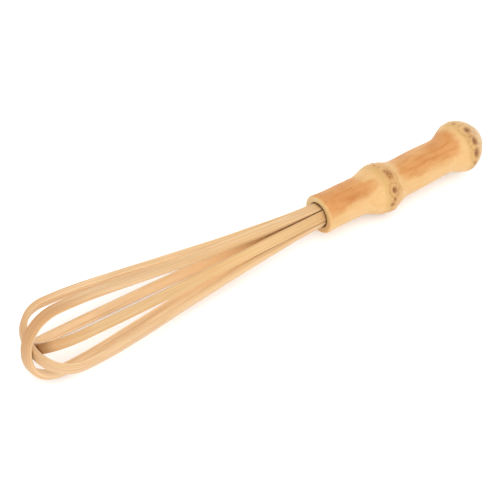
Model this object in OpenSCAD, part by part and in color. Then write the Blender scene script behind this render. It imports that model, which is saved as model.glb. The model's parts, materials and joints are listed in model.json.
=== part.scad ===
// Bamboo loop whisk.
// A bamboo root handle holds the ends of three bamboo strips. Each strip runs out of the socket, bends round at
// the tip and comes back, so six legs leave the mouth of the handle in a ring. The strips cross at the tip in
// three layers.
// The axis of the neck is parallel to X, the tip points along +X, and Z is up as the whisk lies on a table.
// The origin is the centre of the small flat at the butt end of the handle.

/* [Handle] */
// Radius of the rim at the mouth
mouth_r = 7.25; // [7.1:0.05:7.6]
// Radius of the straight part of the neck
neck_r = 6.97; // [6.8:0.01:7.1]
// Distance from the mouth to the front end of the straight neck
neck_start = 6; // [5:0.5:8]
// Distance from the mouth to the rear end of the straight neck
neck_end = 17.6; // [17:0.1:18.5]
// Distance from the mouth to the ridge of the middle node
node_at = 27.8; // [26:0.1:30]
// Radius of the middle node
node_r = 9.38; // [8.8:0.01:10]
// Angle between the flare in front of the middle node and the neck
flare_angle = 3.8; // [0:0.1:5]
// Direction in which the flare leans about the X axis, from +Y towards +Z
flare_direction = 341; // [0:1:359]
// Radius of the rear internode at its waist
waist_r = 7.01; // [6.6:0.01:7.2]
// Length of the scarred band behind the middle node
scar_band = 9; // [8:0.5:12]
// Distance from the middle node to where the butt starts to swell
swell_at = 28.5; // [24:0.5:30]
// Distance from the middle node to the ridge of the butt node
butt_node_at = 37.3; // [36:0.1:40]
// Radius of the butt node
butt_r = 9.62; // [9:0.01:10.4]
// Length of the full dome behind the butt node, before it is cut flat
dome_length = 9.3; // [9:0.1:12]
// Distance from the butt node to the flat on the butt end
flat_at = 8.4; // [7.8:0.1:8.6]
// Angle between the rear internode and the neck
bend_angle = 4.5; // [0:0.1:8]
// Direction of that bend about the X axis, from +Y towards +Z
bend_direction = 97; // [0:1:359]
// Root scars round the middle node
middle_scars = 11; // [0:1:14]
// Root scars round the butt node
butt_scars = 12; // [0:1:14]
// Radius of the ball that hollows out a root scar
scar_r = 1.3; // [0.8:0.1:1.6]

/* [Socket] */
// Radius of the socket at the mouth
socket_mouth_r = 4.85; // [4.85:0.05:5.4]
// Radius of the socket where it grips the strips
socket_grip_r = 4.8; // [4.75:0.01:4.85]
// Length of the taper at the mouth of the socket
socket_taper = 8; // [5:0.5:10]
// Depth of the socket
socket_depth = 16; // [14:0.5:17]
// Length of strip held in the socket
strip_tail = 15; // [13:0.5:15]
// Radius of the peg at its thin inner end
peg_tail_r = 2.9; // [2.6:0.05:2.95]
// Radius of the peg at its outer end
peg_head_r = 3.1; // [2.8:0.05:3.12]
// Distance from the mouth back to the outer end of the peg
peg_recess = 1.5; // [0.5:0.1:3]
// Length of the peg
peg_length = 13; // [10:0.5:13]

/* [Strips] */
// Width of a strip in the cage: outer, middle and inner loop
strip_width = [3.9, 4, 3.6]; // [3.2:0.05:4.2]
// Width of every strip at the mouth
root_width = 3.75; // [3:0.05:3.8]
// Thickness of a strip in the cage
strip_thickness = 2.25; // [1.8:0.05:2.4]
// Thickness of a strip at the mouth
root_thickness = 1.2; // [1:0.05:1.25]
// Distance over which a strip grows to its full section
root_taper = 30; // [24:1:40]
// Radius on the edges of a strip
edge_r = 0.35; // [0.2:0.05:0.45]

/* [Loops] */
// Distance from the mouth to the outside of the tip
tip_reach = 126; // [122:0.5:130]
// Step between the mid-lines of two layers of strip at the tip
layer_step = 2.6; // [2.6:0.05:2.8]
// Distance from the mouth to the widest point: outer, middle and inner loop
belly_at = [111.1, 108.8, 108.5]; // [106:0.1:113]
// Distance from the axis to the mid-line of the strip at the widest point
belly_r = [12.9, 13.6, 13.3]; // [12:0.1:14]
// Sideways lean of the tip of each loop within its own plane
loop_lean = [-0.3, 1.4, -0.4]; // [-1.5:0.05:1.5]
// How far each leg sags towards the axis on its way to the widest point
leg_sag = [1.15, 0.9, 0.15]; // [0:0.05:1.5]
// Exponent of the bend at the tip, where 1 is an ellipse and less is fuller
bend_power = 0.92; // [0.85:0.01:1]
// Distance from the axis to the mid-line of a strip at the mouth
root_r = 3.77; // [3.7:0.01:3.8]
// Angle of each loop's plane in the cage, from +Y towards +Z
cage_angle = [118.8, 183, 61.2]; // [0:0.1:190]
// Angle of each loop's plane at the mouth
root_angle = [114, 174, 54]; // [0:0.5:180]

/* [Hidden] */

OUTER = 0;
MIDDLE = 1;
INNER = 2;

// Spacing of the profile points along the handle
profile_step = 0.9;
// Length over which the flare closes inside the middle node
node_cap = 6;
// Depth of the rounding on the rim at the mouth
rim_depth = 0.5;
// Height of a scar ball's centre above the surface, as a part of its radius
scar_lift = 0.75;
// Radius of the flare where it starts inside the end of the neck, and how far inside it starts
flare_start_r = neck_r - 0.1;
flare_lap = 1;
// Radius of the rear internode where it starts inside the middle node
rear_start_r = node_r - 0.2;
// Stations along one leg of a loop and round one half of its bend
leg_steps = 14;
bend_steps = 14;
// Points on each rounded edge of a strip
edge_steps = 2;
// Part of the way to the widest point at which a leg sags most
sag_at = 0.6;

function smooth(u) = let (v = min(max(u, 0), 1)) v * v * (3 - 2 * v);
function mix(a, b, u) = a + (b - a) * u;

// ---- handle ----

flare_length = node_at - neck_end;
flat_distance = butt_node_at + flat_at;

// Radius of the mouth end at a distance behind the mouth
function mouth_radius(d) = mix(mouth_r, neck_r, smooth(d / neck_start));

// Radius of the flare at a distance behind the neck
function flare_radius(d) = mix(flare_start_r, node_r, smooth(d / flare_length));

// Radius of the rear internode at a distance behind the middle node
function rear_radius(d) =
    d < scar_band ? mix(rear_start_r, waist_r, smooth(d / scar_band))
    : d < swell_at ? waist_r
    : d < butt_node_at ? mix(waist_r, butt_r, smooth((d - swell_at) / (butt_node_at - swell_at)))
    : butt_r * sqrt(1 - pow((d - butt_node_at) / dome_length, 2));

// Distances from a to b in equal steps of about profile_step
function stations(a, b) = let (n = ceil((b - a) / profile_step)) [for (i = [0 : n]) mix(a, b, i / n)];

// The rim is rounded by a quarter turn, and the neck is one true cylinder
neck_points = concat(
    [[0, 0], [mouth_r - rim_depth, 0]],
    [for (a = [15 : 15 : 75]) [mouth_r - rim_depth * (1 - sin(a)), rim_depth * (1 - cos(a))]],
    [for (d = stations(rim_depth, neck_start)) [mouth_radius(d), d]],
    [[neck_r, neck_end], [0, neck_end]]
);

flare_points = concat(
    [[0, -flare_lap], [flare_start_r, -flare_lap]],
    [for (d = stations(0, flare_length)) [flare_radius(d), d]],
    [for (a = [15 : 15 : 75]) [node_r * cos(a), flare_length + node_cap * sin(a)]],
    [[0, flare_length + node_cap]]
);

rear_points = concat(
    [[0, 0]],
    [for (d = stations(0, scar_band)) [rear_radius(d), d]],
    [for (d = stations(swell_at, butt_node_at)) [rear_radius(d), d]],
    [for (d = stations(butt_node_at + profile_step, flat_distance)) [rear_radius(d), d]],
    [[0, flat_distance]]
);

// Where the far end of a part lands when it is bent away from -X by an angle in a direction
function bent_end(start, length, angle, direction) =
    start + length * [-cos(angle), sin(angle) * cos(direction), sin(angle) * sin(direction)];

flare_start = [-neck_end, 0, 0];
node_centre = bent_end(flare_start, flare_length, flare_angle, flare_direction);
butt_centre = bent_end(node_centre, flat_distance, bend_angle, bend_direction);

// Moves a part to where it starts and bends it there
module bent(start, angle, direction) {
    translate(start)
        rotate(-angle, [0, -sin(direction), cos(direction)])
            children();
}

module rear_frame() {
    bent(node_centre, bend_angle, bend_direction)
        children();
}

// Turns a profile of [radius, distance] into a solid that runs from the origin along -X
module turned(points) {
    rotate([0, -90, 0])
        rotate_extrude($fn = 96)
            polygon(points);
}

module socket() {
    overshoot = 1;
    slope = (socket_mouth_r - socket_grip_r) / socket_taper;
    translate([-socket_taper, 0, 0])
        rotate([0, 90, 0])
            cylinder(h = socket_taper + overshoot, r1 = socket_grip_r,
                     r2 = socket_mouth_r + slope * overshoot, $fn = 96);
    translate([-socket_depth, 0, 0])
        rotate([0, 90, 0])
            cylinder(h = socket_depth, r = socket_grip_r, $fn = 96);
}

// A ring of shallow pits in the rear internode, spread unevenly over a band
module root_scars(count, start, band) {
    for (i = [0 : count - 1]) {
        distance = start + band * (0.5 + 0.5 * sin(151 * i));
        turn = 360 * i / count + 9 * sin(97 * i);
        translate([-distance, 0, 0])
            rotate([turn, 0, 0])
                translate([0, rear_radius(distance) + scar_lift * scar_r, 0])
                    sphere(r = scar_r, $fn = 32);
    }
}

module placed() {
    translate(-butt_centre)
        children();
}

module handle() {
    color("burlywood")
        placed()
            difference() {
                union() {
                    turned(neck_points);
                    bent(flare_start, flare_angle, flare_direction)
                        turned(flare_points);
                    rear_frame()
                        turned(rear_points);
                }
                socket();
                rear_frame() {
                    root_scars(middle_scars, 2, 3.5);
                    root_scars(butt_scars, butt_node_at + 1.5, 3);
                }
            }
}

module centre_peg() {
    color("tan")
        placed()
            translate([-peg_recess - peg_length, 0, 0])
                rotate([0, 90, 0])
                    cylinder(h = peg_length, r1 = peg_tail_r, r2 = peg_head_r, $fn = 96);
}

// ---- loops ----

// Distance from the mouth to the mid-line of a loop at its tip
function tip_at(loop) = tip_reach - strip_thickness / 2 - loop * layer_step;

function thickness_at(x) = mix(root_thickness, strip_thickness, smooth(x / root_taper));
function width_at(loop, x) = mix(root_width, strip_width[loop], smooth(x / root_taper));
function angle_at(loop, x) = mix(root_angle[loop], cage_angle[loop], smooth(x / belly_at[loop]));
function lean_at(loop, x) = loop_lean[loop] * pow(max(x, 0) / tip_reach, 1.5);

// Share of its full sag that a leg has at a part of the way to the widest point
function sag(u) = pow(u / sag_at, 3) * pow((1 - u) / (1 - sag_at), 2);

// Distance from the axis to the mid-line of a leg at a part of the way to the widest point
function leg_r(loop, u) = mix(root_r, belly_r[loop], smooth(u)) - leg_sag[loop] * sag(u);

// Mid-line of one leg and its half of the bend as [distance from the mouth, distance from the axis]
function leg_points(loop) = concat(
    [[-strip_tail, root_r]],
    [for (i = [0 : leg_steps]) let (u = i / leg_steps) [u * belly_at[loop], leg_r(loop, u)]],
    [for (i = [1 : bend_steps])
        let (a = 90 * i / bend_steps)
            [mix(belly_at[loop], tip_at(loop), pow(sin(a), bend_power)),
             belly_r[loop] * pow(cos(a), bend_power)]]
);

// The whole loop: out along one leg, round the bend and back along the other
function loop_points(loop) =
    let (leg = leg_points(loop), n = len(leg) - 1)
        concat(leg, [for (i = [1 : n]) [leg[n - i][0], -leg[n - i][1]]]);

// Rounded section of a strip as [across the width, through the thickness], going round once
function section(width, thickness) = [
    for (q = [0 : 3])
        for (j = [0 : edge_steps])
            let (
                a = 90 * (q + j / edge_steps),
                side = (q == 0 || q == 3) ? 1 : -1,
                face = q < 2 ? 1 : -1
            )
                [side * (width / 2 - edge_r) + edge_r * cos(a),
                 face * (thickness / 2 - edge_r) + edge_r * sin(a)]
];

function unit(v) = v / norm(v);

// One ring of points round the strip at station i of the loop
function ring(loop, path, i) =
    let (
        last = len(path) - 1,
        here = path[i],
        along = unit(path[min(i + 1, last)] - path[max(i - 1, 0)]),
        x = here[0],
        angle = angle_at(loop, x),
        spoke = [0, cos(angle), sin(angle)],
        across = [0, -sin(angle), cos(angle)],
        outward = [-along[1], 0, 0] + along[0] * spoke,
        centre = [x, 0, 0] + (here[1] + lean_at(loop, x)) * spoke
    )
        [for (p = section(width_at(loop, x), thickness_at(x))) centre + p[0] * across + p[1] * outward];

module strip_loop(loop) {
    path = loop_points(loop);
    last = len(path) - 1;
    points = [for (i = [0 : last]) each ring(loop, path, i)];
    n = 4 * (edge_steps + 1);
    sides = [
        for (i = [0 : last - 1])
            for (j = [0 : n - 1])
                let (k = (j + 1) % n)
                    [i * n + j, i * n + k, (i + 1) * n + k, (i + 1) * n + j]
    ];
    ends = [[for (j = [n - 1 : -1 : 0]) j], [for (j = [0 : n - 1]) last * n + j]];
    placed()
        polyhedron(points = points, faces = concat(sides, ends), convexity = 6);
}

module loop_outer() {
    color("navajowhite")
        strip_loop(OUTER);
}

module loop_middle() {
    color("wheat")
        strip_loop(MIDDLE);
}

module loop_inner() {
    color("moccasin")
        strip_loop(INNER);
}

handle();
centre_peg();
loop_outer();
loop_middle();
loop_inner();
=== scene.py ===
"""Bamboo loop whisk: the looks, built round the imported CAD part.

Lengths inside the builders are in millimetres, in the neck's own frame: its origin is the centre of the
mouth, +X points to the tip, and distances along the handle are counted backwards from the mouth. Angles round
the axis are in degrees from +Y towards +Z. placed() turns all that into metres in the CAD frame.
"""

import json
import math

import bpy
import numpy as np
from mathutils import Matrix, Vector


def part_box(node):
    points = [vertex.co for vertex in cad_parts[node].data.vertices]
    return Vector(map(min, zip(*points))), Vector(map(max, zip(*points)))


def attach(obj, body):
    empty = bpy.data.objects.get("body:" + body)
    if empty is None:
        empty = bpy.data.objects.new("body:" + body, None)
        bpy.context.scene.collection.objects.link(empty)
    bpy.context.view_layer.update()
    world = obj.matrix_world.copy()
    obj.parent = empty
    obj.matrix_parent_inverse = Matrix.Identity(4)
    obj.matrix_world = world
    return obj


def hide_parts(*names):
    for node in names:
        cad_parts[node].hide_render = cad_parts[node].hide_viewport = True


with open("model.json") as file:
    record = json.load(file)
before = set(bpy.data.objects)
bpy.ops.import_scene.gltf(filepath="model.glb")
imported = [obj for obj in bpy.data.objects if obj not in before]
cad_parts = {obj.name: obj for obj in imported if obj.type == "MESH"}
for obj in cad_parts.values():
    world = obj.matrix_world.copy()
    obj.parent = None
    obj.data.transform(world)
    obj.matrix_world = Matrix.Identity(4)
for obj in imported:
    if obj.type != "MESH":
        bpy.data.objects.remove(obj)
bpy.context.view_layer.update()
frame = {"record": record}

MM = 0.001
SEED = 7

# ---------------------------------------------------------------- sizes shared with the CAD part, in mm

# Handle
MOUTH_R = 7.25
NECK_R = 6.97
NECK_START = 6.0
NECK_END = 17.6
NODE_AT = 27.8
NODE_R = 9.38
FLARE_ANGLE = 3.8
FLARE_DIRECTION = 341.0
WAIST_R = 7.01
SCAR_BAND = 9.0
SWELL_AT = NODE_AT + 28.5
BUTT_NODE_AT = NODE_AT + 37.3
BUTT_R = 9.62
DOME_LENGTH = 9.3
BUTT_FLAT_AT = BUTT_NODE_AT + 8.4
BEND_ANGLE = 4.5
BEND_DIRECTION = 97.0

# Socket and peg
SOCKET_MOUTH_R = 4.85
SOCKET_GRIP_R = 4.8
SOCKET_TAPER = 8.0
SOCKET_DEPTH = 16.0
PEG_TAIL_R = 2.9
PEG_HEAD_R = 3.1
PEG_RECESS = 1.5
PEG_LENGTH = 13.0

# Loops. Values in threes are for the outer, middle and inner one.
LOOPS = ("loop_outer", "loop_middle", "loop_inner")
STRIP_WIDTH = (3.9, 4.0, 3.6)
ROOT_WIDTH = 3.75
STRIP_THICKNESS = 2.25
ROOT_THICKNESS = 1.2
ROOT_TAPER = 30.0
TIP_REACH = 126.0
LAYER_STEP = 2.6
BELLY_AT = (111.1, 108.8, 108.5)
BELLY_R = (12.9, 13.6, 13.3)
LOOP_LEAN = (-0.3, 1.4, -0.4)
LEG_SAG = (1.15, 0.9, 0.15)
SAG_AT = 0.6
BEND_POWER = 0.92
ROOT_R = 3.77
STRIP_TAIL = 15.0
CAGE_ANGLE = (118.8, 183.0, 61.2)
ROOT_ANGLE = (114.0, 174.0, 54.0)


def mount(name):
    return next(m for m in frame["record"]["mounts"] if m["name"] == name)


# The neck mount is the middle of the straight part of the neck
NECK_MIDDLE = Vector(mount("neck")["pos_m"])
MOUTH = NECK_MIDDLE + Vector((0.5 * (NECK_START + NECK_END) * MM, 0, 0))


# ---------------------------------------------------------------- small helpers

def smooth(u):
    """0 below 0, 1 above 1, and an eased rise between."""
    v = np.clip(u, 0.0, 1.0)
    return v * v * (3 - 2 * v)


def mix(a, b, u):
    return a + (b - a) * u


def bump(x, spread):
    """A bell curve of height 1 at x = 0."""
    return np.exp(-(x / spread) ** 2)


def turn_gap(angle, centre):
    """Shortest signed angle from centre to angle, in degrees."""
    return (angle - centre + 180.0) % 360.0 - 180.0


def waves(x, lengths, seed):
    """A smooth, repeatable wobble of about unit height: one sine for each wavelength."""
    rng = np.random.default_rng(seed)
    phases = rng.uniform(0, 2 * np.pi, len(lengths))
    return sum(np.sin(2 * np.pi * x / w + p) for w, p in zip(lengths, phases)) / math.sqrt(len(lengths))


def placed(points):
    """Millimetres in the neck's frame to metres in the CAD frame."""
    return np.asarray(points) * MM + np.array(MOUTH)


def mesh_object(name, points, faces, fields):
    """A smooth-shaded object. fields maps an attribute's name to one number or one 3-vector per point."""
    mesh = bpy.data.meshes.new(name)
    mesh.from_pydata(placed(points).tolist(), [], faces)
    for key, values in fields.items():
        values = np.asarray(values, dtype=np.float32)
        kind = "FLOAT_VECTOR" if values.ndim == 2 else "FLOAT"
        layer = mesh.attributes.new(key, kind, "POINT")
        layer.data.foreach_set("vector" if values.ndim == 2 else "value", values.ravel())
    mesh.polygons.foreach_set("use_smooth", [True] * len(mesh.polygons))
    mesh.update()
    obj = bpy.data.objects.new(name, mesh)
    bpy.context.scene.collection.objects.link(obj)
    return obj


def grid_faces(rings, around):
    """Quads joining closed rings of points, in order."""
    faces = []
    for i in range(rings - 1):
        a = i * around
        b = a + around
        for j in range(around):
            k = (j + 1) % around
            faces.append((a + j, a + k, b + k, b + j))
    return faces


# ---------------------------------------------------------------- root scars

# Root scars: distance along the handle, angle round it, radius along, radius round, depth, mound's height
NODE_SCARS = (
    (28.5, 51.0, 0.95, 1.10, 0.90, 0.50),
    (28.0, 29.5, 0.55, 0.85, 0.55, 0.35),
    (27.2, 16.5, 0.85, 0.85, 0.45, 0.35),
    (28.3, 99.0, 0.55, 0.60, 0.18, 0.10),
    (29.9, 96.0, 0.50, 0.45, 0.16, 0.10),
    (28.6, 90.5, 0.55, 0.50, 0.25, 0.15),
    (30.1, 87.0, 0.55, 0.50, 0.25, 0.15),
    (28.8, 82.0, 0.60, 0.45, 0.22, 0.15),
    (29.9, 79.0, 0.35, 0.35, 0.12, 0.05),
    (28.1, 117.0, 0.30, 0.70, 0.10, 0.10),
    (27.4, 131.0, 0.45, 0.80, 0.30, 0.35),
)
BUTT_SCARS = (
    (67.0, 95.0, 1.35, 1.25, 0.80, 0.45),
    (67.3, 65.0, 1.20, 1.45, 0.70, 0.40),
    (66.6, 37.5, 1.15, 1.70, 0.65, 0.40),
    (65.9, 76.5, 0.50, 0.50, 0.14, 0.15),
    (65.3, 69.0, 0.35, 0.45, 0.12, 0.10),
    (65.0, 127.0, 0.60, 0.90, 0.20, 0.20),
    (65.6, 13.0, 0.55, 1.10, 0.30, 0.30),
)

# Brown stains between the scars: distance along, angle round, spread along, spread round, strength
STAINS = (
    (29.2, 90.0, 1.8, 2.8, 0.95),
    (28.6, 50.0, 2.0, 2.3, 0.40),
    (27.4, 22.0, 1.4, 2.2, 0.35),
    (27.6, 120.0, 1.3, 2.5, 0.25),
    (66.4, 82.0, 1.6, 2.4, 0.40),
    (67.3, 63.0, 1.5, 2.4, 0.35),
    (66.8, 38.0, 1.9, 2.6, 0.55),
    (65.6, 130.0, 1.4, 2.6, 0.35),
    (65.8, 12.0, 1.4, 2.4, 0.35),
)

# The mound and its dark outline lie this many scar radii from the middle
MOUND_SPREAD = 2.3
OUTLINE_AT = 2.4


def more_scars(first, last, distance, count, seed):
    """Root scars for the part of a ring that goes from one angle round to another."""
    rng = np.random.default_rng(seed)
    made = []
    for i in range(count):
        angle = first + (last - first) * (i + 0.5 + rng.uniform(-0.25, 0.25)) / count
        size = rng.uniform(0.5, 0.95)
        at = distance + rng.uniform(-0.6, 0.9)
        made.append((at, angle, size, size * rng.uniform(0.8, 1.3), 0.7 * size, 0.45 * size))
    return tuple(made)


def scar_field(d, angle, radius, scars):
    """Height, darkness and dark outline that a set of root scars adds to the surface."""
    height = np.zeros_like(d)
    dark = np.zeros_like(d)
    halo = np.zeros_like(d)
    for at, turn, along, across, depth, mound in scars:
        u = (d - at) / along
        v = np.radians(turn_gap(angle, turn)) * radius / across
        rho = np.sqrt(u * u + v * v)
        height += mound * bump(rho, MOUND_SPREAD) - depth * np.exp(-rho ** 4)
        height -= 0.20 * min(depth, 0.5) * bump(rho - MOUND_SPREAD, 0.30)
        strength = min(1.0, 0.30 + 1.2 * depth)
        dark = np.maximum(dark, strength * np.exp(-rho ** 2.5))
        halo = np.maximum(halo, min(1.0, depth / 0.8) ** 2 * bump(rho - OUTLINE_AT, 0.35))
    return height, dark, halo


def stain_field(d, angle, radius):
    dark = np.zeros_like(d)
    for at, turn, along, across, strength in STAINS:
        u = (d - at) / along
        v = np.radians(turn_gap(angle, turn)) * radius / across
        dark = np.maximum(dark, strength * np.exp(-(u * u + v * v)))
    return dark


# ---------------------------------------------------------------- surface of the handle

# The ridge line of each ring, in front of its widest point: distance, slant and the side it slants back on
NODE_RIDGE = (25.25, 0.5, -20.0)
BUTT_RIDGE = (64.15, 0.35, -20.0)
RIDGE_HEIGHT = 0.14
# The low step that ends the band of root scars behind the middle node
LEDGE_AT = 31.7
LEDGE_WAVE = 0.35
BAND_RISE = 0.22
LUMP_HEIGHT = 0.07
# The node is flattened behind its ridge, mostly on one side
FLAT_AT = 29.2
FLAT_DEPTH = 0.45
FLAT_SIDE = 160.0
# The back of the rear internode is a little fuller, and its swell starts a little hollow
BACK_FULLNESS = 0.25
BACK_SIDE = 341.0
HOLLOW_DEPTH = 0.18
HOLLOW_MORE = 0.20
HOLLOW_SIDE = 161.0
SIDE_SPREAD = 65.0


def profile(d):
    """Radius of the handle at a distance behind the mouth."""
    front = np.where(
        d < NECK_START,
        mix(MOUTH_R, NECK_R, smooth(d / NECK_START)),
        mix(NECK_R, NODE_R, smooth((d - NECK_END) / (NODE_AT - NECK_END))),
    )
    behind = mix(NODE_R, WAIST_R, smooth((d - NODE_AT) / SCAR_BAND))
    swell = mix(WAIST_R, BUTT_R, smooth((d - SWELL_AT) / (BUTT_NODE_AT - SWELL_AT)))
    dome = BUTT_R * np.sqrt(np.clip(1 - ((d - BUTT_NODE_AT) / DOME_LENGTH) ** 2, 0, 1))
    radius = np.where(d < NODE_AT, front, behind)
    radius = np.where(d > SWELL_AT, swell, radius)
    return np.where(d > BUTT_NODE_AT, dome, radius)


def ridge_line(angle, ridge):
    distance, slant, side = ridge
    return distance + slant * np.cos(np.radians(angle - side))


def lopsided_profile(d, angle):
    """The profile, with a dome that closes a little sooner on one side."""
    low_side = np.clip(np.cos(np.radians(angle + 19.0)), 0, 1)
    sooner = 0.15 * low_side * smooth((d - BUTT_NODE_AT) / 2.5)
    return profile(np.minimum(d + sooner, BUTT_FLAT_AT))


def ridge_and_groove(gap, ridge_spread, groove_depth, groove_at, groove_spread):
    """A raised line on a ring, with a shallow groove just behind it."""
    return RIDGE_HEIGHT * bump(gap, ridge_spread) - groove_depth * bump(gap - groove_at, groove_spread)


def out_of_round(d, angle):
    """How far the surface lies outside a turned one, because a real root is never quite round or straight."""
    lobes = 0.08 * np.cos(np.radians(2 * angle - 40)) + 0.05 * np.cos(np.radians(3 * angle + 70))
    lobes = lobes * smooth((d - NECK_END) / 6.0)
    flat_side = 0.25 + 0.75 * bump(turn_gap(angle, FLAT_SIDE), 75.0)
    flat = FLAT_DEPTH * bump(d - FLAT_AT, 2.4) * flat_side
    back = BACK_FULLNESS * bump(turn_gap(angle, BACK_SIDE), SIDE_SPREAD)
    back = back * smooth((d - 30.5) / 2.5) * smooth((60.0 - d) / 4.0)
    hollow = HOLLOW_DEPTH + HOLLOW_MORE * bump(turn_gap(angle, HOLLOW_SIDE), SIDE_SPREAD)
    hollow = hollow * smooth((d - 46.0) / 9.0) * smooth((66.0 - d) / 10.0)
    facets = 0.02 * waves(angle, (30.0, 360.0 / 17, 360.0 / 23), SEED + 1)
    return lobes - flat + back - hollow + facets * smooth(d / 3.0)


def scar_lumps(d, angle, band, butt_gap):
    """Small lumps between the scars, on the band behind the node and on the dome."""
    lumps = waves(angle, (360.0 / 13, 360.0 / 19), SEED + 4) * waves(d, (2.3, 3.7), SEED + 6)
    dome = smooth((butt_gap - 0.5) / 1.0) * smooth((72.0 - d) / 3.0)
    return LUMP_HEIGHT * lumps * np.maximum(band, dome)


def surface(d, angle):
    """Radius of the finished surface and its colour fields at a distance and an angle."""
    node_gap = d - ridge_line(angle, NODE_RIDGE)
    butt_gap = d - ridge_line(angle, BUTT_RIDGE)
    ledge_line = LEDGE_AT + LEDGE_WAVE * waves(angle, (360.0 / 7, 360.0 / 11), SEED)
    band = smooth((node_gap - 0.4) / 0.8) * (1 - smooth((d - ledge_line) / 0.7))

    radius = lopsided_profile(d, angle)
    radius = radius + ridge_and_groove(node_gap, 0.40, 0.12, 0.9, 0.45)
    radius = radius + ridge_and_groove(butt_gap, 0.45, 0.10, 1.0, 0.50)
    radius = radius + BAND_RISE * band * smooth((d - NODE_AT) / 2.0)
    radius = radius + scar_lumps(d, angle, band, butt_gap)
    radius = radius + out_of_round(d, angle)

    node_scars = NODE_SCARS + more_scars(145, 360, NODE_AT + 0.6, 8, SEED)
    butt_scars = BUTT_SCARS + more_scars(145, 365, BUTT_NODE_AT + 1.4, 8, SEED + 3)
    height, dark, halo = scar_field(d, angle, radius, node_scars + butt_scars)
    radius = radius + height * smooth((BUTT_FLAT_AT - d) / 2.0)

    ledge_side = 0.35 + 0.65 * bump(turn_gap(angle, 55.0), 26.0)
    fields = {
        "scar": dark,
        "halo": halo,
        "ridge": bump(node_gap - 0.2, 1.2) + 0.8 * bump(butt_gap - 0.2, 1.1),
        "band": np.maximum(band, 0.4 * smooth((butt_gap - 0.3) / 2.0)),
        "end": smooth((d - 66.0) / 4.5),
        "ledge": bump(d - ledge_line - 0.35, 0.35) * ledge_side,
        "stain_and_shadow": stain_field(d, angle, radius),
    }
    return radius, fields


# Darker lines that follow the fibres: angle at each end, start, end and spread in degrees
STREAKS = (
    (100.0, 100.0, 5.5, 16.0, 2.5),
    (77.0, 68.0, 5.0, 21.0, 13.0),
    (78.0, 70.0, 36.0, 62.5, 4.0),
    (96.0, 92.0, 44.0, 61.0, 3.0),
)


def toast(d, angle):
    """How much each internode is browned by the fire: most along one side, none at the rings."""
    turn = turn_gap(angle, 120.0) + 120.0
    neck_end = 26.5 - 4.5 * smooth((turn - 82.0) / 35.0)
    neck = smooth((d + 1.0) / 2.4) * smooth((neck_end - d) / 7.5)
    neck_low = 46.0 + 1.8 * np.maximum(d - 9.0, 0.0)
    rear = smooth((d - 31.5) / 5.0) * smooth((63.6 - d) / 4.5)
    rear = rear * (1 - 0.35 * smooth((turn - 86.0) / 30.0) * smooth((58.0 - d) / 12.0))
    rear_low = 54.0 - 0.3 * (d - 35.0)
    sides = []
    for along, low, high in ((neck, neck_low, 205.0), (rear, rear_low, 195.0)):
        sides.append(along * smooth((turn - low + 32.0) / 66.0) * smooth((high - turn) / 30.0))
    return np.maximum(*sides)


def streaks(d, angle):
    dark = np.zeros_like(d)
    for first, last, start, end, spread in STREAKS:
        line = mix(first, last, (d - start) / (end - start)) + 1.5 * waves(d, (17.0, 9.0), int(first))
        length = smooth((d - start) / 4.0) * smooth((end - d) / 4.0)
        dark = np.maximum(dark, length * bump(turn_gap(angle, line), spread))
    return dark


# ---------------------------------------------------------------- bent centre line of the handle

# Each bend is eased over this much of the handle's length
FLARE_EASE = 5.0
REAR_EASE = 6.0
CENTRE_SAMPLES = 1500


def lean(angle, direction):
    """A small lean away from -X as its parts along Y and Z, in radians."""
    turn = math.radians(direction)
    return math.radians(angle) * np.array([math.cos(turn), math.sin(turn)])


def centre_line(distances):
    """Centre of the handle and its lean at distances behind the mouth."""
    fine = np.linspace(0, BUTT_FLAT_AT, CENTRE_SAMPLES)
    into_flare = smooth((fine - NECK_END + FLARE_EASE / 2) / FLARE_EASE)[:, None]
    into_rear = smooth((fine - NODE_AT + REAR_EASE / 2) / REAR_EASE)[:, None]
    flare = lean(FLARE_ANGLE, FLARE_DIRECTION)
    rear = lean(BEND_ANGLE, BEND_DIRECTION)
    tilt = mix(into_flare * flare, rear, into_rear)
    along = np.column_stack([-np.cos(np.linalg.norm(tilt, axis=1)), tilt])
    steps = 0.5 * (along[1:] + along[:-1]) * (fine[1] - fine[0])
    centre = np.concatenate([np.zeros((1, 3)), np.cumsum(steps, axis=0)])
    at = [np.interp(distances, fine, centre[:, i]) for i in range(3)]
    tilts = [np.interp(distances, fine, tilt[:, i]) for i in range(2)]
    return at, tilts


def handle_points(d, angle, radius):
    """Points of the bent handle from distance, angle in degrees and radius."""
    (x, y, z), (tilt_y, tilt_z) = centre_line(d)
    size = np.maximum(np.hypot(tilt_y, tilt_z), 1e-9)
    spoke_y = radius * np.cos(np.radians(angle))
    spoke_z = radius * np.sin(np.radians(angle))
    with_lean = (spoke_y * tilt_y + spoke_z * tilt_z) / size
    shrink = with_lean * (np.cos(size) - 1) / size
    return np.stack([
        x + with_lean * np.sin(size),
        y + spoke_y + shrink * tilt_y,
        z + spoke_z + shrink * tilt_z,
    ], axis=-1)


# ---------------------------------------------------------------- handle

# Points round the handle, and about how far apart its rings are
AROUND = 288
STEP_ALONG = 0.25
# Rounded edges of the bore, the rim and the butt flat. The last is wider than it is deep.
BORE_EDGE = 0.1
RIM_EDGE = 0.7
BUTT_EDGE = 0.7
BUTT_EDGE_ACROSS = 1.1
BUTT_EDGE_R = float(profile(np.array(BUTT_FLAT_AT - BUTT_EDGE)))
# Rings of points: radii on the socket's floor, distances on its wall, and shares of the butt flat's radius
FLOOR_RADII = (1.2, 2.6, 3.8, SOCKET_GRIP_R - 0.3)
WALL_AT = (SOCKET_DEPTH - 0.3, 14, 12, 10, SOCKET_TAPER, 7, 6, 5, 4, 3, 2.2, 1.6, 1.1, 0.7, 0.4, 0.2)
FACE_RINGS = 5
FLAT_SHARES = (0.7, 0.45, 0.2)
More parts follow.
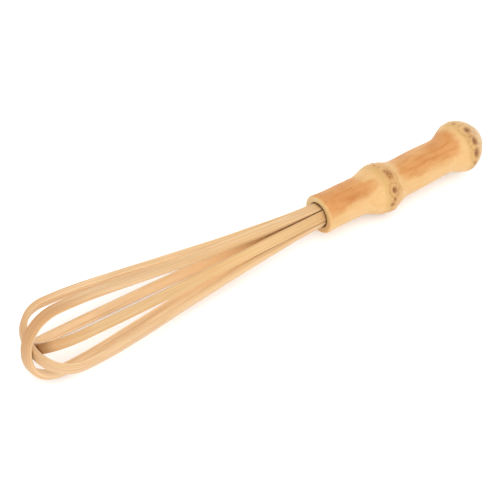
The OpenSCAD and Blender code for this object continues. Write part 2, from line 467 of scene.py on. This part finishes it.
# The socket's wall is painted with shade below this depth, and the browning starts this far down the rim's
# rounded edge
SHADE_FROM = 1.3
BROWN_FROM = 0.2
# The end grain reaches this far up the rounded edge of the butt
END_GRAIN_REACH = 0.2
# Painted light and shade on the drilled face: lighter towards one side, and a painted shadow along the bore's
# edge on another
LIT_SIDE = 160.0
SHADED_SIDE = 62.0
BUTT_LIT_SHARE = 0.6


def rounding(angles, depth, width):
    """How far along and across a rounded edge's points lie from its corner, at angles in degrees."""
    turns = np.radians(angles)
    return list(zip(depth * (1 - np.sin(turns)), width * (1 - np.cos(turns))))


def socket_rings():
    """Distance and radius of each ring from the middle of the socket's floor to the edge of the bore."""
    rings = [(SOCKET_DEPTH, r) for r in FLOOR_RADII]
    for d in WALL_AT:
        taper = max(0.0, 1 - d / SOCKET_TAPER)
        rings.append((d, mix(SOCKET_GRIP_R, SOCKET_MOUTH_R, taper)))
    edge = rounding((30, 60, 90), BORE_EDGE, BORE_EDGE)
    return rings + [(along, SOCKET_MOUTH_R + across) for along, across in edge]


def handle_rings():
    """Part, distance and radius of every ring, from the socket's floor over the mouth and back to the butt.

    The rings of the outside have no radius here, because surface() gives it.
    """
    face = np.linspace(SOCKET_MOUTH_R + 2 * BORE_EDGE, MOUTH_R - RIM_EDGE, FACE_RINGS)
    rim = rounding((75, 60, 45, 30, 15), RIM_EDGE, RIM_EDGE)
    count = int((BUTT_FLAT_AT - RIM_EDGE) / STEP_ALONG)
    outside = np.linspace(RIM_EDGE, BUTT_FLAT_AT - BUTT_EDGE, count)
    butt = rounding((20, 40, 60, 80), BUTT_EDGE, BUTT_EDGE_ACROSS)
    flat_r = BUTT_EDGE_R - BUTT_EDGE_ACROSS
    parts = {
        "socket": socket_rings(),
        "face": [(0.0, r) for r in face],
        "rim": [(along, MOUTH_R - across) for along, across in rim],
        "outside": [(d, math.nan) for d in outside],
        "butt": [(BUTT_FLAT_AT - along, BUTT_EDGE_R - across) for along, across in butt],
        "flat": [(BUTT_FLAT_AT, flat_r * share) for share in FLAT_SHARES],
    }
    part = np.array([name for name, rings in parts.items() for _ in rings])
    distance, radius = np.array([ring for rings in parts.values() for ring in rings], dtype=float).T
    return part, distance, radius


def joined_radius(part, ring_radius, outside_radius):
    """Radius of every point. The edges next to the outside take up its shape."""
    outside = part == "outside"
    radius = np.where(outside[:, None], outside_radius, ring_radius[:, None])
    first = radius[outside][0]
    last = radius[outside][-1]
    radius[part == "rim"] += first - MOUTH_R
    end = np.isin(part, ("butt", "flat"))
    radius[end] += (last - BUTT_EDGE_R) * ring_radius[end, None] / BUTT_EDGE_R
    return radius


def handle_fields(part, d, angle, radius, marks):
    """Colour fields of the handle, one value for each point. marks are the surface's own fields.

    Only the outside has marks, but for the paler end, which goes on over the butt.
    """
    outside = (part == "outside")[:, None]
    end = np.isin(part, ("butt", "flat"))[:, None]
    drilled = np.isin(part, ("socket", "face"))[:, None]
    cut = drilled | (end & (d > BUTT_FLAT_AT - END_GRAIN_REACH))
    can_brown = outside | ((part == "rim")[:, None] & (d > BROWN_FROM))
    side = np.radians(angle - LIT_SIDE)
    bore_side = bump(turn_gap(angle, SHADED_SIDE), 75.0)
    phi = np.radians(angle)
    fields = {name: values * outside for name, values in marks.items()}
    fields |= {
        "end": marks["end"],
        "toast": toast(d, angle) * can_brown,
        "streak": streaks(d, angle) * outside,
        "cut": cut,
        # Painted shade on the socket's wall, from a little below the mouth down
        "inside": (part == "socket")[:, None] & (d > SHADE_FROM),
        # Painted light: the drilled face is lighter towards one side, and the butt flat takes one even share
        "lit_side": np.where(end, BUTT_LIT_SHARE, 0.5 + 0.5 * np.cos(side)),
        # Painted shadow along the bore's edge, strongest on one side
        "bore_shadow": cut * bump(radius - SOCKET_MOUTH_R, 0.50) * bore_side,
    }
    fields = {name: values.ravel() for name, values in fields.items()}
    fields["strand"] = np.stack([d, radius * np.cos(phi), radius * np.sin(phi)], axis=-1).reshape(-1, 3)
    return fields


def close_ends(points, faces, fields, ends, around):
    """Adds a fan of triangles round a new point at each end of a tube of rings."""
    first = len(points)
    last = first + 1
    base = first - around
    for j in range(around):
        k = (j + 1) % around
        faces.append((first, k, j))
        faces.append((last, base + j, base + k))
    for key, values in fields.items():
        fields[key] = np.concatenate([values, values[[0, -1]]])
    return np.concatenate([points, ends])


def handle():
    """The root handle: socket, drilled face, rim, outside and butt flat as one closed surface."""
    part, distance, ring_radius = handle_rings()
    rings = len(part)
    d = np.repeat(distance[:, None], AROUND, axis=1)
    angle = np.tile(np.arange(AROUND) * 360.0 / AROUND, (rings, 1))
    outside_radius, marks = surface(d, angle)
    radius = joined_radius(part, ring_radius, outside_radius)

    points = handle_points(d, angle, radius).reshape(-1, 3)
    fields = handle_fields(part, d, angle, radius, marks)
    faces = grid_faces(rings, AROUND)
    butt, _ = centre_line(BUTT_FLAT_AT)
    ends = [[-SOCKET_DEPTH, 0, 0], [float(v) for v in butt]]
    points = close_ends(points, faces, fields, ends, AROUND)
    return mesh_object("handle_root", points, faces, fields)


# ---------------------------------------------------------------- loops

# Stations along a leg, and along half a bend
LEG_STATIONS = 150
BEND_STATIONS = 90
# A strip's section: radius of its edges, and points on each edge, face and side
EDGE_R = 0.42
EDGE_POINTS = 5
FACE_POINTS = 7
SIDE_POINTS = 3
# A planed strip's width and thickness vary by about this share, and it rolls by about this many degrees
UNEVENNESS = 0.012
ROLL = 1.2
# The strips are bent over a flame, which browns them at the tip: how much, how far, and how far off the tip
HEAT = (0.65, 0.40, 0.55)
HEAT_REACH = (24.0, 25.0, 24.0)
HEAT_OFFSET = (-11.0, -16.0, 0.0)
# Painted shadow on the inner strip only, under the crossing of the other two, this far from its tip
TIP_SHADOW = (0.0, 0.0, 1.0)
TIP_SHADOW_REACH = 10.0
# The legs are palest about here
PALE_AT = 36.0
PALE_SPREAD = 28.0


def tip_at(loop):
    return TIP_REACH - STRIP_THICKNESS / 2 - loop * LAYER_STEP


def mid_line(loop):
    """One leg and its half of the bend: distances from the mouth and from the axis."""
    x = np.linspace(-STRIP_TAIL, BELLY_AT[loop], LEG_STATIONS)
    u = np.clip(x / BELLY_AT[loop], 0, 1)
    sag = (u / SAG_AT) ** 3 * ((1 - u) / (1 - SAG_AT)) ** 2
    r = mix(ROOT_R, BELLY_R[loop], smooth(u)) - LEG_SAG[loop] * sag
    a = np.linspace(0, np.pi / 2, BEND_STATIONS)[1:]
    x = np.concatenate([x, mix(BELLY_AT[loop], tip_at(loop), np.sin(a) ** BEND_POWER)])
    r = np.concatenate([r, BELLY_R[loop] * np.clip(np.cos(a), 0, 1) ** BEND_POWER])
    r[-1] = 0.0
    return x, r


def strip_path(loop):
    """The whole mid line: distance from the mouth, distance from the axis, length so far and tangent."""
    x, r = mid_line(loop)
    x = np.concatenate([x, x[-2::-1]])
    r = np.concatenate([r, -r[-2::-1]])
    length = np.concatenate([[0], np.cumsum(np.hypot(np.diff(x), np.diff(r)))])
    tangent = np.stack([np.gradient(x), np.gradient(r)], axis=1)
    tangent /= np.linalg.norm(tangent, axis=1)[:, None]
    return x, r, length, tangent


def strip_size(loop, x, length):
    """Width and thickness along a strip: thinner at the root, and never quite even."""
    grown = smooth(x / ROOT_TAPER)
    width = mix(ROOT_WIDTH, STRIP_WIDTH[loop], grown)
    thickness = mix(ROOT_THICKNESS, STRIP_THICKNESS, grown)
    wide = UNEVENNESS * waves(length, (61.0, 37.0, 23.0), SEED + loop)
    thick = UNEVENNESS * waves(length, (53.0, 31.0, 19.0), SEED + 5 + loop)
    return width * (1 + wide), thickness * (1 - UNEVENNESS + thick)


def strip_axes(loop, x, r, tangent):
    """Centre of a strip, and its directions across and outward, at each station."""
    angle = np.radians(mix(ROOT_ANGLE[loop], CAGE_ANGLE[loop], smooth(x / BELLY_AT[loop])))
    sideways = LOOP_LEAN[loop] * (np.maximum(x, 0) / TIP_REACH) ** 1.5
    spoke = np.stack([np.zeros_like(x), np.cos(angle), np.sin(angle)], axis=1)
    across = np.stack([np.zeros_like(x), -np.sin(angle), np.cos(angle)], axis=1)
    outward = tangent[:, :1] * spoke
    outward[:, 0] -= tangent[:, 1]
    centre = (r + sideways)[:, None] * spoke
    centre[:, 0] += x
    return centre, across, outward


def strip_section(width, thickness):
    """Rounded section of a strip, as [across, outward], going round once."""
    corners = ((1, 1), (-1, 1), (-1, -1), (1, -1))
    half_width = width / 2 - EDGE_R
    half_thickness = thickness / 2 - EDGE_R

    def on_corner(corner, turn):
        side, face = corner
        return side * half_width + EDGE_R * math.cos(turn), face * half_thickness + EDGE_R * math.sin(turn)

    points = []
    for q, corner in enumerate(corners):
        turns = [math.radians(90 * (q + j / (EDGE_POINTS - 1))) for j in range(EDGE_POINTS)]
        points += [on_corner(corner, turn) for turn in turns]
        start = points[-1]
        end = on_corner(corners[(q + 1) % 4], turns[-1])
        between = FACE_POINTS if q % 2 == 0 else SIDE_POINTS
        for j in range(1, between + 1):
            u = j / (between + 1)
            points.append((mix(start[0], end[0], u), mix(start[1], end[1], u)))
    return np.array(points)


def strip_fields(loop, x, from_tip, face_side):
    """Colour fields of a strip. face_side is 0 on its flesh and 1 on its outer face."""
    outer_side = smooth((face_side - 0.2) / 0.5)
    heated = smooth((HEAT_REACH[loop] - np.abs(from_tip - HEAT_OFFSET[loop])) / 20.0)
    # Painted shadow near the inner strip's tip, under the crossing of the other strips
    shadowed = smooth((TIP_SHADOW_REACH - np.abs(from_tip)) / 5.0)
    return {
        "skin": face_side,
        "root": smooth((6.0 - x) / 8.0),
        "browned": HEAT[loop] * heated * outer_side,
        "tip_shadow": TIP_SHADOW[loop] * shadowed * outer_side,
        # Painted shadow on the outer face where the strip goes into the bore; on the handle this field holds
        # real brown stains
        "stain_and_shadow": smooth((0.9 - x) / 0.7) * outer_side,
        "pale": bump(x - PALE_AT, PALE_SPREAD),
    }


def strip(loop):
    """One bent strip: out along one leg, round the bend and back along the other."""
    x, r, length, tangent = strip_path(loop)
    width, thickness = strip_size(loop, x, length)
    centre, across, outward = strip_axes(loop, x, r, tangent)
    roll = np.radians(ROLL) * waves(length, (97.0, 45.0), SEED + 9 + loop) * smooth(x / 40.0)

    points = []
    strand = []
    face_side = []
    for i in range(len(x)):
        section = strip_section(width[i], thickness[i])
        cos_roll = math.cos(roll[i])
        sin_roll = math.sin(roll[i])
        u = section[:, 0] * cos_roll - section[:, 1] * sin_roll
        v = section[:, 0] * sin_roll + section[:, 1] * cos_roll
        points.append(centre[i] + u[:, None] * across[i] + v[:, None] * outward[i])
        strand.append(np.column_stack([np.full(len(u), length[i]), section]))
        face_side.append(section[:, 1] / thickness[i] + 0.5)
    rings = len(points)
    around = len(points[0])

    faces = grid_faces(rings, around)
    faces.append(tuple(range(around - 1, -1, -1)))
    faces.append(tuple((rings - 1) * around + j for j in range(around)))
    from_tip = np.repeat(length - length[-1] / 2, around)
    fields = strip_fields(loop, np.repeat(x, around), from_tip, np.concatenate(face_side))
    fields["strand"] = np.concatenate(strand)
    return mesh_object(LOOPS[loop] + "_strip", np.concatenate(points), faces, fields)


# ---------------------------------------------------------------- peg

# Points round the peg, and the flats that the knife left on it
PEG_AROUND = 72
PEG_FLATS = 7
PEG_FLAT_DEPTH = 0.012


def peg():
    """The wedge between the strip ends: a tapered peg with a chamfered head and knife-cut flats."""
    angle = np.arange(PEG_AROUND) * 2 * np.pi / PEG_AROUND
    flats = 1 - PEG_FLAT_DEPTH * (1 + np.cos(PEG_FLATS * angle + 0.6))
    # Distance from the head, and share of the full radius there
    stations = [(PEG_LENGTH, 0.0), (PEG_LENGTH, 0.8), (PEG_LENGTH - 0.4, 1.0)]
    stations += [(d, 1.0) for d in np.linspace(PEG_LENGTH - 1, 1.0, 20)]
    stations += [(0.5, 1.0), (0.2, 0.93), (0.0, 0.84), (0.0, 0.5), (0.0, 0.0)]
    rings = []
    for d, share in stations:
        r = mix(PEG_HEAD_R, PEG_TAIL_R, d / PEG_LENGTH) * share * flats
        x = np.full(PEG_AROUND, -PEG_RECESS - d)
        rings.append(np.stack([x, r * np.cos(angle), r * np.sin(angle)], axis=1))
    points = np.concatenate(rings)
    made = mesh_object("peg_wedge", points, grid_faces(len(stations), PEG_AROUND), {"strand": points})
    merge = made.modifiers.new("close_ends", "WELD")
    merge.merge_threshold = 0.001 * MM
    return made


# ---------------------------------------------------------------- materials

# The stage is lit this much brighter than white, and surface colours are darker to match. The soft shadows
# on the floor then nearly wash out.
HIGH_KEY = 1.6
# The flesh side and the edges of a strip are this much paler than their hex code
FLESH_LIFT = 1.32
SIDE_LIFT = 1.10
# Colours of the outer face and the flesh of the outer, middle and inner strip
STRIP_COLOURS = (("ecc391", "f4cfa0"), ("eec697", "f4cfa0"), ("e4bb84", "f4cfa0"))


def rgb(code, lift=1.0):
    """Surface colour from a hex code as it looks on screen under the stage light, made paler by lift."""
    parts = [int(code[i:i + 2], 16) / 255 for i in (0, 2, 4)]
    linear = [c / 12.92 if c <= 0.04045 else ((c + 0.055) / 1.055) ** 2.4 for c in parts]
    return (*[lift * c / HIGH_KEY for c in linear], 1.0)


class Nodes:
    """Short names for the node types that the materials use."""

    def __init__(self, name):
        self.material = bpy.data.materials.new(name)
        self.material.use_nodes = True
        self.tree = self.material.node_tree
        self.shader = self.tree.nodes["Principled BSDF"]

    def add(self, kind, **settings):
        node = self.tree.nodes.new(kind)
        for key, value in settings.items():
            setattr(node, key, value)
        return node

    def link(self, source, target):
        self.tree.links.new(source, target)

    def value(self, target, source):
        if hasattr(source, "is_output"):
            self.link(source, target)
        else:
            target.default_value = source

    def field(self, name):
        """A number that the mesh holds for each point."""
        return self.add("ShaderNodeAttribute", attribute_name=name).outputs["Fac"]

    def strand(self):
        """Where a point lies in the bamboo: along the fibres, and two ways across them, in mm."""
        return self.add("ShaderNodeAttribute", attribute_name="strand").outputs["Vector"]

    def math(self, operation, a, b=0.0, clamp=False):
        node = self.add("ShaderNodeMath", operation=operation, use_clamp=clamp)
        self.value(node.inputs[0], a)
        self.value(node.inputs[1], b)
        return node.outputs[0]

    def times(self, a, b):
        return self.math("MULTIPLY", a, b)

    def scaled(self, source, factor, offset, clamp=False):
        """source times factor plus offset."""
        return self.math("ADD", self.times(source, factor), offset, clamp=clamp)

    def stretch(self, source, along, across):
        """Scales a strand, so that a pattern on it is drawn out along the fibres."""
        node = self.add("ShaderNodeMapping", vector_type="POINT")
        self.link(source, node.inputs["Vector"])
        node.inputs["Scale"].default_value = (along, across, across)
        return node.outputs["Vector"]

    def noise(self, vector, detail, roughness, scale=1.0):
        node = self.add("ShaderNodeTexNoise")
        self.link(vector, node.inputs["Vector"])
        node.inputs["Scale"].default_value = scale
        node.inputs["Detail"].default_value = detail
        node.inputs["Roughness"].default_value = roughness
        return node.outputs["Fac"]

    def bundles(self, strand, across, edge, core):
        """Ends of the fibre bundles: 1 in the core of each dot, 0 beyond its edge."""
        node = self.add("ShaderNodeTexVoronoi")
        self.link(self.stretch(strand, 0.05, across), node.inputs["Vector"])
        node.inputs["Scale"].default_value = 1.0
        return self.ramp(node.outputs["Distance"], edge, core)

    def ramp(self, source, low, high):
        """0 at low, 1 at high, smooth between."""
        node = self.add("ShaderNodeMapRange", interpolation_type="SMOOTHSTEP")
        self.value(node.inputs["Value"], source)
        node.inputs["From Min"].default_value = low
        node.inputs["From Max"].default_value = high
        return node.outputs["Result"]

    def blend(self, factor, a, b):
        node = self.add("ShaderNodeMix", data_type="RGBA", blend_type="MIX")
        self.value(node.inputs["Factor"], factor)
        for socket, colour in ((node.inputs["A"], a), (node.inputs["B"], b)):
            self.value(socket, colour)
        return node.outputs["Result"]

    def tint(self, colour, mask, strength, code, lift=1.0):
        """colour moved towards a hex code, by strength where mask is 1."""
        return self.blend(self.times(mask, strength), colour, rgb(code, lift))

    def bumps(self, height, distance, strength, normal=None):
        node = self.add("ShaderNodeBump")
        self.link(height, node.inputs["Height"])
        node.inputs["Distance"].default_value = distance
        node.inputs["Strength"].default_value = strength
        if normal is not None:
            self.link(normal, node.inputs["Normal"])
        return node.outputs["Normal"]

    def finish(self, colour, roughness, normal):
        for name, source in (("Base Color", colour), ("Roughness", roughness), ("Normal", normal)):
            self.link(source, self.shader.inputs[name])
        return self.material


def root_ground(m, patch, fibre, fine):
    """Pale root, browned where the toast field says, with fibres and streaks."""
    # The browning has a cloudy edge that runs out along the fibres
    cloud = m.math("ADD", m.times(m.math("SUBTRACT", patch, 0.5), 0.7),
                   m.times(m.math("SUBTRACT", fibre, 0.5), 0.25))
    field = m.field("toast")
    browned = m.math("ADD", field, m.times(cloud, m.ramp(field, 0.0, 0.5)), clamp=True)
    pale = m.blend(m.ramp(patch, 0.30, 0.75), rgb("f6c98a"), rgb("f0be7b"))
    toasted = m.blend(m.ramp(patch, 0.35, 0.72), rgb("e5a05a"), rgb("da914a"))
    colour = m.blend(m.ramp(browned, -0.05, 1.0), pale, toasted)
    colour = m.tint(colour, m.ramp(fibre, 0.46, 0.70), 0.26, "c78742")
    colour = m.tint(colour, m.ramp(fine, 0.50, 0.70), 0.20, "fbe0b0")
    return m.tint(colour, m.field("streak"), 0.36, "c0702e")


def root_marks(m, colour, mottle):
    """Rings, scar bands and scars."""
    band = m.times(m.field("band"), m.ramp(mottle, 0.30, 0.62))
    colour = m.tint(colour, m.field("band"), 0.25, "e5ab68")
    colour = m.tint(colour, band, 0.30, "cf9250")
    stain_and_shadow = m.math("MULTIPLY", m.field("stain_and_shadow"), m.scaled(mottle, 0.9, 0.45), clamp=True)
    colour = m.blend(stain_and_shadow, colour, rgb("b97b3e"))
    colour = m.tint(colour, m.field("ridge"), 0.50, "d6ab5e")
    colour = m.tint(colour, m.field("ledge"), 0.40, "b07c44")
    colour = m.tint(colour, m.field("end"), 0.50, "f3d3a8")
    halo = m.times(m.field("halo"), m.ramp(mottle, 0.30, 0.65))
    colour = m.tint(colour, halo, 0.50, "a8713a")
    scar = m.math("MULTIPLY", m.field("scar"), m.scaled(mottle, 0.7, 0.50), clamp=True)
    return m.blend(scar, colour, rgb("80491a"))


def root_cuts(m, colour, strand):
    """The drilled face with painted light on one side, the end grain of the butt flat, a painted shadow along
    the bore's edge and painted shade inside the socket.
    """
    # Painted light: the drilled face goes from a shaded to a lit colour round the bore
    face = m.blend(m.field("lit_side"), rgb("e6b270"), rgb("fddca0"))
    colour = m.blend(m.times(m.field("cut"), 0.90), colour, face)
    end_grain = m.times(m.field("cut"), m.field("end"))
    spot = m.times(m.bundles(strand, 1.5, 0.38, 0.14), end_grain)
    colour = m.tint(colour, spot, 0.50, "a06a34")
    # Painted shadow along the bore's edge
    colour = m.tint(colour, m.field("bore_shadow"), 0.25, "8a5524")
    # Painted shade inside the socket
    return m.blend(m.field("inside"), colour, rgb("7a4820"))


def root_material():
    """Sanded bamboo root: pale at the rings, browned on one side, dark in the root scars."""
    m = Nodes("bamboo_root_finish")
    strand = m.strand()
    fibre = m.noise(m.stretch(strand, 0.05, 2.6), 4.0, 0.6)
    fine = m.noise(m.stretch(strand, 0.22, 8.0), 3.0, 0.6)
    patch = m.noise(m.stretch(strand, 0.16, 0.32), 3.0, 0.55)
    mottle = m.noise(m.stretch(strand, 0.9, 0.9), 4.0, 0.65)
    colour = root_ground(m, patch, fibre, fine)
    colour = root_marks(m, colour, mottle)
    colour = root_cuts(m, colour, strand)
    m.shader.inputs["Specular IOR Level"].default_value = 0.25
    normal = m.bumps(fine, 0.03 * MM, 0.5, m.bumps(fibre, 0.05 * MM, 0.6))
    return m.finish(colour, m.scaled(fine, 0.16, 0.40), normal)


def strip_ground(m, outer, inner, flesh):
    """Outer face, edges and flesh."""
    colour = m.blend(flesh, rgb(inner, SIDE_LIFT), rgb(inner, FLESH_LIFT))
    skin = m.ramp(m.field("skin"), 0.70, 0.98)
    return m.blend(skin, colour, rgb(outer))


def strip_grain(m, colour, strand, fibre, fine):
    """Patches, and dark and light lines along the fibres."""
    lines = m.noise(m.stretch(strand, 0.022, 1.5), 2.0, 0.5)
    patch = m.noise(m.stretch(strand, 0.04, 0.35), 2.0, 0.5)
    colour = m.tint(colour, m.ramp(patch, 0.42, 0.75), 0.35, "dba164")
    colour = m.tint(colour, m.ramp(lines, 0.48, 0.62), 0.34, "cd9252")
    colour = m.tint(colour, m.ramp(lines, 0.50, 0.36), 0.30, "f6d9ad")
    colour = m.tint(colour, m.ramp(fibre, 0.50, 0.66), 0.40, "c88b4c")
    return m.tint(colour, m.ramp(fine, 0.50, 0.70), 0.26, "fbe0b5")


def strip_marks(m, colour, flesh):
    """Browned tip, pale legs, painted shadow on the inner strip's tip, and painted shadow at the root where
    the strips go into the bore.
    """
    colour = m.tint(colour, m.field("browned"), 0.85, "c88746")
    colour = m.tint(colour, m.field("root"), 0.25, "c98d4c")
    colour = m.tint(colour, m.field("pale"), 0.35, "f9cc8b", 1.08)
    colour = m.tint(colour, m.times(m.field("pale"), flesh), 0.60, "ffdcaa", 1.60)
    # Painted shadow at the inner strip's tip
    colour = m.tint(colour, m.field("tip_shadow"), 0.52, "9a6430")
    # Painted shadow where the strips go into the bore
    return m.tint(colour, m.field("stain_and_shadow"), 0.80, "6b4018")


def strip_material(name, outer, inner, seed):
    """Planed bamboo strip: straight fibres along the strand, a smooth outer face and paler, rougher flesh."""
    m = Nodes(name)
    moved = m.add("ShaderNodeVectorMath", operation="ADD")
    m.link(m.strand(), moved.inputs[0])
    moved.inputs[1].default_value = (31.7 * seed, 5.3 * seed, 2.1 * seed)
    strand = moved.outputs[0]
    fibre = m.noise(m.stretch(strand, 0.035, 3.8), 4.0, 0.62)
    fine = m.noise(m.stretch(strand, 0.10, 11.0), 3.0, 0.6)
    flesh = m.ramp(m.field("skin"), 0.15, 0.02)
    colour = strip_ground(m, outer, inner, flesh)
    colour = strip_grain(m, colour, strand, fibre, fine)
    colour = strip_marks(m, colour, flesh)
    m.shader.inputs["Specular IOR Level"].default_value = 0.3
    normal = m.bumps(fine, 0.04 * MM, 0.5, m.bumps(fibre, 0.06 * MM, 0.6))
    return m.finish(colour, m.scaled(fine, 0.2, 0.40), normal)


def peg_material():
    """Cut bamboo end grain: dark fibre dots in a tan ground."""
    m = Nodes("bamboo_peg_finish")
    strand = m.strand()
    spot = m.bundles(strand, 2.4, 0.34, 0.16)
    patch = m.noise(strand, 3.0, 0.5, scale=0.8)
    colour = m.blend(patch, rgb("cf9d62"), rgb("dcae74"))
    colour = m.tint(colour, spot, 0.6, "8d5b2c")
    return m.finish(colour, m.scaled(patch, 0.2, 0.55), m.bumps(patch, 0.05 * MM, 0.6))


def floor_material():
    m = Nodes("pale_floor")
    m.shader.inputs["Base Color"].default_value = (0.93, 0.93, 0.93, 1)
    m.shader.inputs["Roughness"].default_value = 0.9
    m.shader.inputs["Specular IOR Level"].default_value = 0.1
    return m.material


# ---------------------------------------------------------------- stage

FLOOR_HALF_WIDTH = 3.0
FLOOR_CLEARANCE = 0.1 * MM
# The legs reach lowest at this share of the belly's distance
LOWEST_SHARE = 0.985

# The lamps point at the legs of the cage, from this far away
LAMP_AIM = Vector((0.03, 0, 0))
LAMP_DISTANCE = 1.0
LAMP_WIDTH = 0.7
KEY_POWER = 1.5 * HIGH_KEY
FILL_POWER = 1.4 * HIGH_KEY
WORLD_STRENGTH = 0.86 * HIGH_KEY

# The camera looks at a point given in mm from the mouth, from this direction and distance
CAMERA_AIM = (23.75, -3.72, -12.90)
CAMERA_AZIMUTH = 30.344
CAMERA_ELEVATION = 55.27
CAMERA_ROLL = -28.889
CAMERA_DISTANCE = 0.8443
CAMERA_LENS = 170.9


def floor():
    """A wide plane that touches the lowest legs of the cage and the middle node, as a table top would."""
    node_x = MOUTH.x - NODE_AT * MM
    node_z = MOUTH.z - NODE_R * MM
    head_x = MOUTH.x + LOWEST_SHARE * BELLY_AT[2] * MM
    head_z = min(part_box("loop_inner")[0].z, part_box("loop_outer")[0].z)
    slope = (head_z - node_z) / (head_x - node_x)
    half = FLOOR_HALF_WIDTH
    corners = []
    for x, y in ((-half, -half), (half, -half), (half, half), (-half, half)):
        corners.append((x, y, node_z + slope * (x - node_x) - FLOOR_CLEARANCE))
    mesh = bpy.data.meshes.new("floor")
    mesh.from_pydata(corners, [], [(0, 1, 2, 3)])
    plane = bpy.data.objects.new("floor", mesh)
    bpy.context.scene.collection.objects.link(plane)
    mesh.materials.append(floor_material())


def area_light(name, direction, power):
    light = bpy.data.lights.new(name, "AREA")
    light.shape = "DISK"
    light.size = LAMP_WIDTH
    light.energy = power
    obj = bpy.data.objects.new(name, light)
    aim = MOUTH + LAMP_AIM
    obj.location = aim + Vector(direction).normalized() * LAMP_DISTANCE
    obj.rotation_euler = (aim - obj.location).to_track_quat("-Z", "Y").to_euler()
    bpy.context.scene.collection.objects.link(obj)


def lights():
    world = bpy.data.worlds.new("studio")
    world.use_nodes = True
    background = world.node_tree.nodes["Background"]
    background.inputs["Color"].default_value = (1.0, 1.0, 1.0, 1)
    background.inputs["Strength"].default_value = WORLD_STRENGTH
    bpy.context.scene.world = world
    area_light("key", (0.3, 0.1, 1.0), KEY_POWER)
    area_light("fill", (0.4, 1.0, 0.3), FILL_POWER)
    bpy.context.scene.view_settings.view_transform = "Standard"


def camera():
    """Looks down on the tip from above, rolled so that the whisk runs up to the right."""
    data = bpy.data.cameras.new("camera")
    data.sensor_width = 36.0
    data.lens = CAMERA_LENS
    data.clip_start = 0.01
    data.clip_end = 20
    cam = bpy.data.objects.new("camera", data)
    aim = MOUTH + Vector(CAMERA_AIM) * MM
    azimuth, elevation, roll = (math.radians(a) for a in (CAMERA_AZIMUTH, CAMERA_ELEVATION, CAMERA_ROLL))
    back = Vector((
        math.cos(elevation) * math.cos(azimuth),
        math.cos(elevation) * math.sin(azimuth),
        math.sin(elevation),
    ))
    level = Vector((0, 0, 1)).cross(back).normalized()
    upright = back.cross(level)
    right = level * math.cos(roll) - upright * math.sin(roll)
    up = level * math.sin(roll) + upright * math.cos(roll)
    turn = Matrix((right, up, back)).transposed().to_4x4()
    cam.matrix_world = Matrix.Translation(aim + back * CAMERA_DISTANCE) @ turn
    bpy.context.scene.collection.objects.link(cam)
    bpy.context.scene.camera = cam


# ---------------------------------------------------------------- build

def dress(piece, node, material):
    """Gives a piece its material, hangs it on the root body and hides the CAD part that it stands for."""
    piece.data.materials.append(material)
    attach(piece, "root")
    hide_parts(node)


dress(handle(), "handle", root_material())
dress(peg(), "centre_peg", peg_material())
for number, loop_name in enumerate(LOOPS):
    outer_colour, inner_colour = STRIP_COLOURS[number]
    finish = strip_material(f"bamboo_strip_finish_{number + 1}", outer_colour, inner_colour, number + 1)
    dress(strip(number), loop_name, finish)

floor()
lights()
camera()
